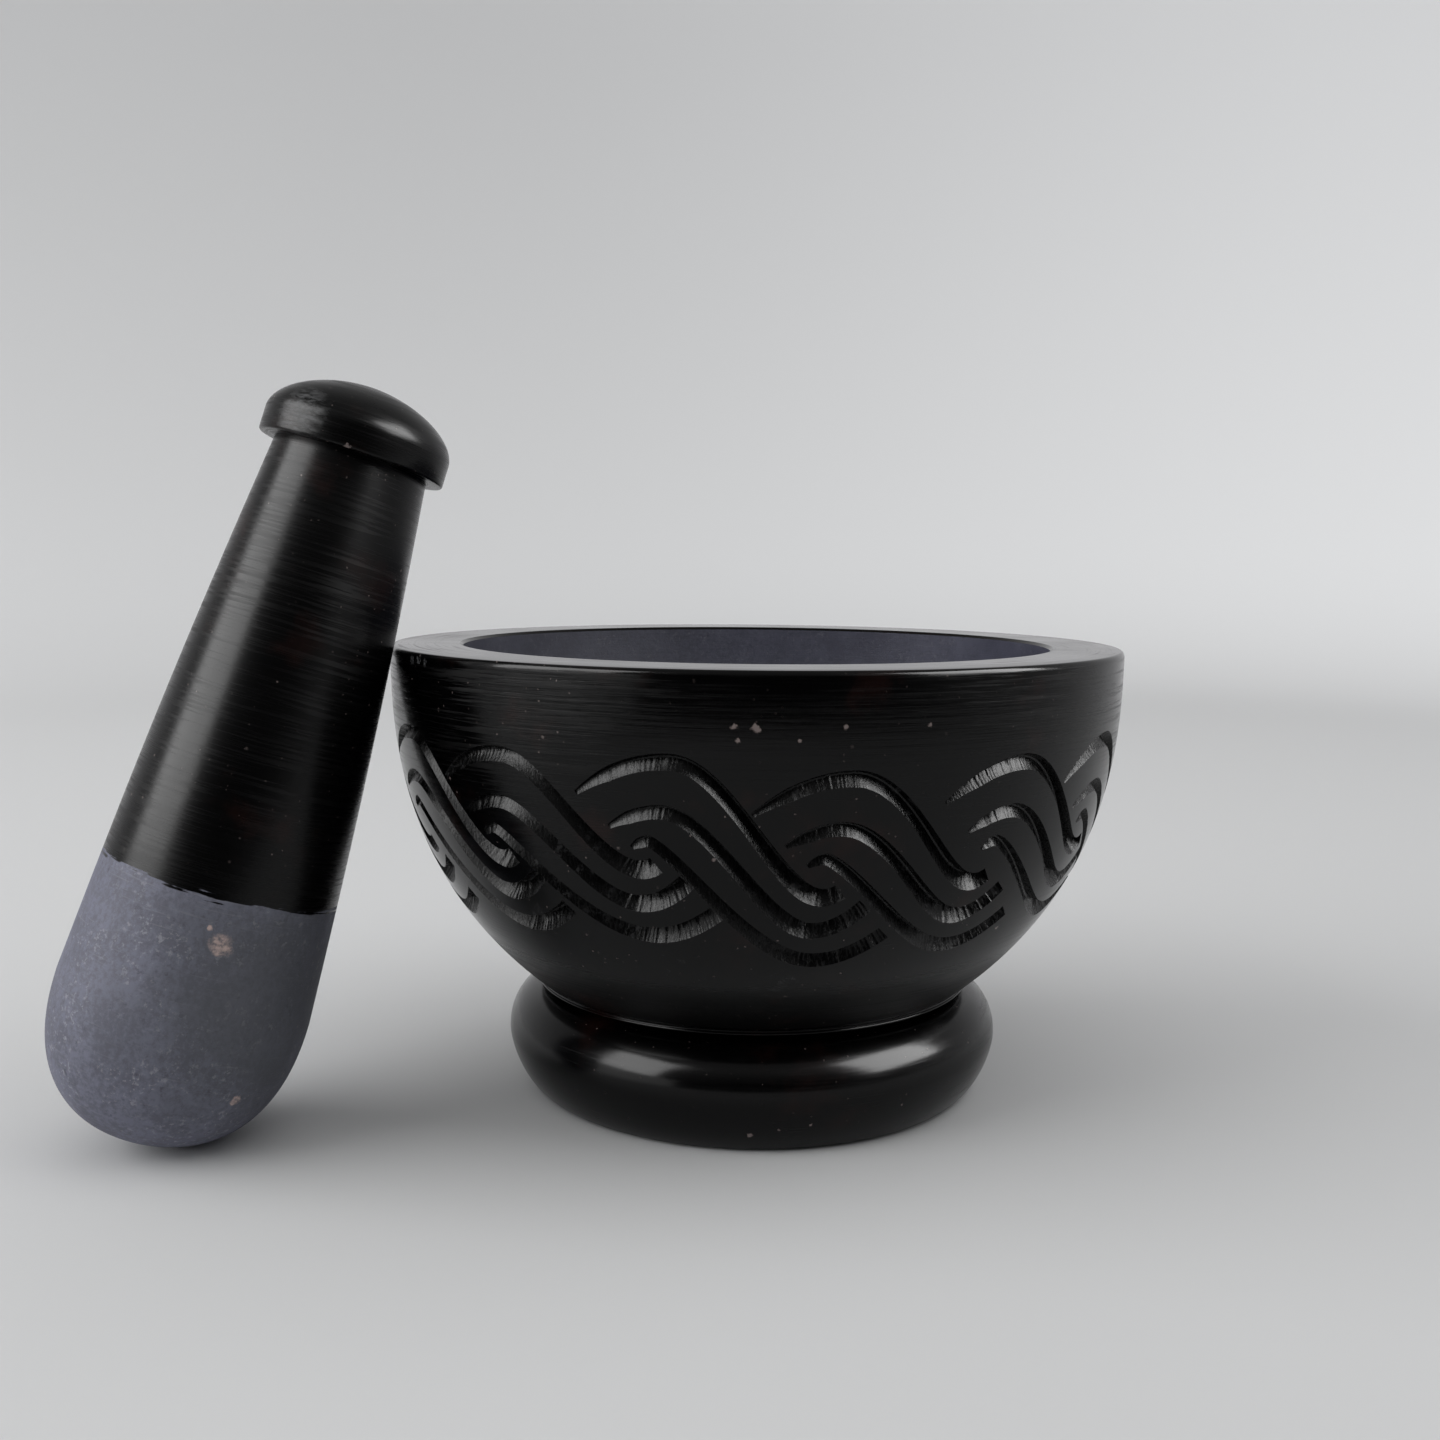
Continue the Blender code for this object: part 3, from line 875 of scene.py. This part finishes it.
def waxed_share(nodes):
    """0 on the raw end and 1 on the handle, with an uneven line between them."""
    wander = nodes.sway(nodes.noise(130, 4, 0.65), 2.2 * MM)
    brush_marks = nodes.noise(1.0, 2, 0.5, nodes.turning_coordinates(140.0, 2600.0))
    uneven = nodes.math("ADD", wander, nodes.sway(brush_marks, 2.6 * MM))
    line = nodes.math("ADD", nodes.axes()[2], uneven)
    return nodes.band(line, (RAW_END_HEIGHT - WAX_EDGE, RAW_END_HEIGHT + WAX_EDGE), 0.0, 1.0)


def pestle_stone(place):
    """Waxed handle and cap, with the grinding end left raw."""
    nodes = Nodes("pestle_finish", place)
    waxed = waxed_share(nodes)
    raw_colour, raw_roughness, raw_normal = raw_end(nodes)
    waxed_colour, waxed_roughness, waxed_normal = waxed_handle(nodes)
    colour = nodes.mix(waxed, raw_colour, waxed_colour)
    roughness = nodes.blend(waxed, raw_roughness, waxed_roughness)
    normal = nodes.blend_normals(waxed, raw_normal, waxed_normal)
    return finish_stone(nodes, colour, roughness, normal)


def stage_paper(glow=0.0):
    """Pale matt paper.  The far sweep also glows a little, so that its wall looks as pale."""
    nodes = Nodes("pale_paper")
    nodes.plug(nodes.shader.inputs["Base Color"], PAPER_WHITE)
    nodes.plug(nodes.shader.inputs["Roughness"], 0.9)
    nodes.plug(nodes.shader.inputs["Specular IOR Level"], 0.1)
    if glow:
        nodes.plug(nodes.shader.inputs["Emission Color"], GLOW_WHITE)
        far = nodes.ramp(nodes.radius(), TABLE_RADIUS, FULL_GLOW_RADIUS, 0.0, glow)
        side = nodes.ramp(nodes.axes()[0], *GLOW_SIDES, *GLOW_SIDE_SHARES)
        nodes.plug(nodes.shader.inputs["Emission Strength"], nodes.math("MULTIPLY", far, side))
    return nodes.material


# ---------------------------------------------------------------- stage, light, camera

def lathe_sheet(name, profile, material):
    """An open sheet turned about Z from (radius, height) points in metres."""
    bm = bmesh.new()
    angles = [math.tau * index / STAGE_SEGMENTS for index in range(STAGE_SEGMENTS)]
    rings = []
    for radius, height in profile:
        rings.append([bm.verts.new((radius * math.cos(angle), radius * math.sin(angle), height))
                      for angle in angles])
    for inner, outer in zip(rings, rings[1:]):
        for index in range(STAGE_SEGMENTS):
            following = (index + 1) % STAGE_SEGMENTS
            bm.faces.new((inner[index], inner[following], outer[following], outer[index]))
    bmesh.ops.recalc_face_normals(bm, faces=bm.faces)
    mesh = bpy.data.meshes.new(name)
    bm.to_mesh(mesh)
    bm.free()
    mesh.materials.append(material)
    mesh.shade_smooth()
    return mesh_object(name, mesh)


def build_stage():
    """A table top, and a far sweep of the same paper that only the camera sees."""
    paper = stage_paper()
    width = TABLE_RADIUS - TABLE_PINHOLE
    rings = [(TABLE_PINHOLE + width * ring / TABLE_RINGS, 0.0) for ring in range(TABLE_RINGS + 1)]
    table = lathe_sheet("table_top", rings, paper)
    sweep_profile = [(TABLE_RADIUS, 0.0), (SWEEP_FLAT_RADIUS, 0.0)]
    for ring in range(1, SWEEP_RINGS + 1):
        angle = math.radians(90.0 * ring / SWEEP_RINGS)
        sweep_profile.append((SWEEP_FLAT_RADIUS + SWEEP_CURVE * math.sin(angle),
                              SWEEP_CURVE * (1.0 - math.cos(angle))))
    sweep_profile.append((SWEEP_FLAT_RADIUS + SWEEP_CURVE, SWEEP_HEIGHT))
    sweep = lathe_sheet("paper_sweep", sweep_profile, stage_paper(SWEEP_GLOW))
    for sheet in (table, sweep):
        sheet.location.y = TABLE_BACK
    sweep.visible_glossy = False
    sweep.visible_diffuse = False
    sweep.visible_shadow = False


def panel_light(name, azimuth, elevation, distance, size, radiance, mirrored):
    """A flat soft light aimed at the object."""
    turn, lift = math.radians(azimuth), math.radians(elevation)
    direction = Vector((math.sin(turn) * math.cos(lift), -math.cos(turn) * math.cos(lift),
                        math.sin(lift)))
    light = bpy.data.lights.new(name, "AREA")
    light.shape = "RECTANGLE"
    light.size, light.size_y = size
    light.energy = math.pi * size[0] * size[1] * radiance
    lamp = bpy.data.objects.new(name, light)
    lamp.location = Vector(LIGHT_AIM) + direction * distance
    lamp.rotation_euler = direction.to_track_quat("Z", "Y").to_euler()
    lamp.visible_camera = False
    lamp.visible_glossy = mirrored
    lamp.visible_diffuse = not mirrored
    bpy.context.scene.collection.objects.link(lamp)


def build_lights():
    for light in LIGHTS:
        panel_light(*light)


def build_world():
    """A room that is dark behind the camera, and pale behind the object."""
    world = bpy.data.worlds.new("room")
    bpy.context.scene.world = world
    world.use_nodes = True
    tree = world.node_tree
    coordinates = tree.nodes.new("ShaderNodeTexCoord")
    split = tree.nodes.new("ShaderNodeSeparateXYZ")
    tree.links.new(coordinates.outputs["Generated"], split.inputs[0])
    ramp = tree.nodes.new("ShaderNodeMapRange")
    ramp.inputs["From Min"].default_value = -1.0
    ramp.inputs["From Max"].default_value = 1.0
    tree.links.new(split.outputs[1], ramp.inputs["Value"])
    ceiling = tree.nodes.new("ShaderNodeMapRange")
    ceiling.interpolation_type = "SMOOTHSTEP"
    ceiling.inputs["From Min"].default_value = CEILING_RISE[0]
    ceiling.inputs["From Max"].default_value = CEILING_RISE[1]
    ceiling.inputs["To Min"].default_value = 1.0
    ceiling.inputs["To Max"].default_value = 0.0
    tree.links.new(split.outputs[2], ceiling.inputs["Value"])
    shades = tree.nodes.new("ShaderNodeValToRGB")
    tree.links.new(ramp.outputs["Result"], shades.inputs["Fac"])
    elements = shades.color_ramp.elements
    while len(elements) < len(ROOM_LEVELS):
        elements.new(0.5)
    for element, (position, level) in zip(elements, ROOM_LEVELS):
        element.position = position
        element.color = (level, level, level * 1.02, 1.0)
    background = tree.nodes["Background"]
    mix = tree.nodes.new("ShaderNodeMix")
    mix.data_type = "RGBA"
    tree.links.new(ceiling.outputs["Result"], mix.inputs["Factor"])
    mix.inputs[6].default_value = (CEILING_LEVEL, CEILING_LEVEL, CEILING_LEVEL, 1.0)
    tree.links.new(shades.outputs["Color"], mix.inputs[7])
    tree.links.new(mix.outputs[2], background.inputs["Color"])


def build_camera():
    camera = bpy.data.cameras.new("photo_view")
    camera.lens = CAMERA_LENS_MM
    camera.sensor_width = 36.0
    camera.clip_start = 0.01
    viewer = bpy.data.objects.new("photo_view", camera)
    aim = (Matrix.Rotation(CAMERA_YAW, 4, "Z") @ Matrix.Rotation(math.pi / 2 - CAMERA_PITCH, 4, "X")
           @ Matrix.Rotation(CAMERA_ROLL, 4, "Z"))
    viewer.matrix_world = Matrix.Translation(CAMERA_PLACE) @ aim
    bpy.context.scene.collection.objects.link(viewer)
    bpy.context.scene.camera = viewer
    bpy.context.scene.view_settings.view_transform = "Standard"


def main():
    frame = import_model()
    low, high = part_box("mortar")
    rim_radius = (high.x - low.x) / 2 / MM
    height = high.z / MM
    mortar = build_mortar(rim_radius, height, polished_stone(), hollow_stone(), carved_stone())
    pestle = build_pestle()
    for piece, body in ((mortar, "mortar"), (pestle, "pestle")):
        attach(piece, body)
        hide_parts(body)
    build_stage()
    build_world()
    build_lights()
    build_camera()
    print("triangles", {piece.name: sum(len(p.vertices) - 2 for p in piece.data.polygons)
                        for piece in (mortar, pestle)}, "nodes", sorted(frame["nodes"]))


main()
